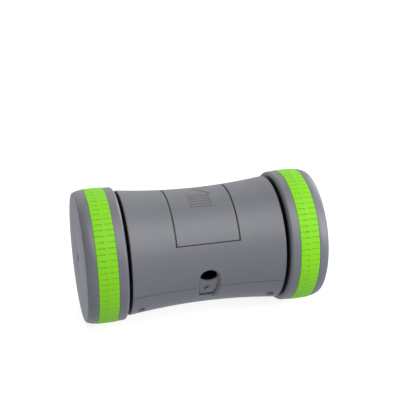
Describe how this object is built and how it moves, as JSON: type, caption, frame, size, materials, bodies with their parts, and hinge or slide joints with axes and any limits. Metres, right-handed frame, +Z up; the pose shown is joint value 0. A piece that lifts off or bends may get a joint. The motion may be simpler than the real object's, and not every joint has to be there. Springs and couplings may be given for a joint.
{
  "type": "roaming treat dispenser",
  "caption": "Waisted drum-shaped pet treat dispenser with a driven wheel at each end, a sliding fill lid on top and an adjustable outlet in front.",
  "frame": {"origin": "on the floor, midway between the wheels and below their axis: the centre of the bounding box's bottom", "axes": "+X along the wheels' axis to the right wheel, -Y towards the outlet in front, +Z up"},
  "size_m": [0.206, 0.116, 0.116],
  "materials": {
    "shell_grey": "satin, fine texture",
    "lid_grey": "satin, fine texture",
    "wheel_grey": "satin, fine texture",
    "slider_grey": "satin",
    "bin_dark": "satin",
    "button_dark": "matte",
    "tyre_green": "matte",
    "gear_white": "satin",
    "screw_dark": "black oxide",
    "screw_steel": "plain",
    "shaft_steel": "ground",
    "motor_steel": "plain",
    "contact_steel": "plated",
    "bush_brass": "plain",
    "cell_jacket": "plain jacket",
    "board_green": "solder resist",
    "chip_black": "matte",
    "lead_black": "satin"
  },
  "bodies": {
    "body": {"upper_shell": "shell_grey", "lower_shell": "shell_grey", "shell_screws": "screw_dark", "treat_bin": "bin_dark", "bin_screws": "screw_steel", "battery_door": "lid_grey", "battery_door_screw": "screw_steel", "battery_cells": "cell_jacket", "contact_plates": "contact_steel", "contact_springs": "contact_steel", "control_board": "board_green", "board_chips": "chip_black", "tact_switch": "chip_black", "board_screws": "screw_steel", "wiring": "lead_black", "gear_pins": "shaft_steel", "axle_bushes": "bush_brass", "motor_screws": "screw_steel", "gear_case_screws": "screw_steel", "right_gear_case": "gear_white", "right_gear_cover": "gear_white", "right_motor": "motor_steel", "left_gear_case": "gear_white", "left_gear_cover": "gear_white", "left_motor": "motor_steel"},
    "lid": {"fill_lid": "lid_grey"},
    "slider": {"portion_slider": "slider_grey"},
    "button": {"power_button": "button_dark"},
    "right_wheel": {"right_wheel_dish": "wheel_grey", "right_wheel_back": "wheel_grey", "right_tyre": "tyre_green", "right_wheel_screws": "screw_steel", "right_hub_screw": "screw_dark", "right_axle": "shaft_steel", "right_output_gear": "gear_white"},
    "right_second": {"right_second_gear": "gear_white"},
    "right_first": {"right_first_gear": "gear_white"},
    "right_rotor": {"right_motor_shaft": "shaft_steel", "right_pinion": "bush_brass"},
    "left_wheel": {"left_wheel_dish": "wheel_grey", "left_wheel_back": "wheel_grey", "left_tyre": "tyre_green", "left_wheel_screws": "screw_steel", "left_hub_screw": "screw_dark", "left_axle": "shaft_steel", "left_output_gear": "gear_white"},
    "left_second": {"left_second_gear": "gear_white"},
    "left_first": {"left_first_gear": "gear_white"},
    "left_rotor": {"left_motor_shaft": "shaft_steel", "left_pinion": "bush_brass"}
  },
  "joints": [
    {"name": "lid_slide_round", "type": "hinge", "parent": "body", "child": "lid", "pos_m": [0, 0, 0.058], "axis": [-1, 0, 0], "range_deg": [0, 66]},
    {"name": "slider_set", "type": "hinge", "parent": "body", "child": "slider", "pos_m": [0, 0, 0.058], "axis": [-1, 0, 0], "range_deg": [-5, 15]},
    {"name": "button_press", "type": "slide", "parent": "body", "child": "button", "axis": [0, -1, 0], "range_m": [0, 0.0012], "stiffness_N_per_m": 400},
    {"name": "right_wheel_spin", "type": "hinge", "parent": "body", "child": "right_wheel", "pos_m": [0.085, 0, 0.058], "axis": [1, 0, 0], "continuous": true},
    {"name": "left_wheel_spin", "type": "hinge", "parent": "body", "child": "left_wheel", "pos_m": [-0.085, 0, 0.058], "axis": [1, 0, 0], "continuous": true},
    {"name": "right_second_spin", "type": "hinge", "parent": "body", "child": "right_second", "pos_m": [0.058, 0.0141, 0.04617], "axis": [1, 0, 0], "continuous": true},
    {"name": "right_first_spin", "type": "hinge", "parent": "body", "child": "right_first", "pos_m": [0.058, 0.00266, 0.03957], "axis": [1, 0, 0], "continuous": true},
    {"name": "right_rotor_spin", "type": "hinge", "parent": "body", "child": "right_rotor", "pos_m": [0.055, -0.00842, 0.03762], "axis": [1, 0, 0], "continuous": true},
    {"name": "left_second_spin", "type": "hinge", "parent": "body", "child": "left_second", "pos_m": [-0.058, -0.0141, 0.04617], "axis": [1, 0, 0], "continuous": true},
    {"name": "left_first_spin", "type": "hinge", "parent": "body", "child": "left_first", "pos_m": [-0.058, -0.00266, 0.03957], "axis": [1, 0, 0], "continuous": true},
    {"name": "left_rotor_spin", "type": "hinge", "parent": "body", "child": "left_rotor", "pos_m": [-0.055, 0.00842, 0.03762], "axis": [1, 0, 0], "continuous": true}
  ],
  "couplings": [
    {"joint": "right_second_spin", "follows": "right_wheel_spin", "ratio": -3.6},
    {"joint": "right_first_spin", "follows": "right_wheel_spin", "ratio": 12.24},
    {"joint": "right_rotor_spin", "follows": "right_wheel_spin", "ratio": -48.96},
    {"joint": "left_second_spin", "follows": "left_wheel_spin", "ratio": -3.6},
    {"joint": "left_first_spin", "follows": "left_wheel_spin", "ratio": 12.24},
    {"joint": "left_rotor_spin", "follows": "left_wheel_spin", "ratio": -48.96}
  ]
}
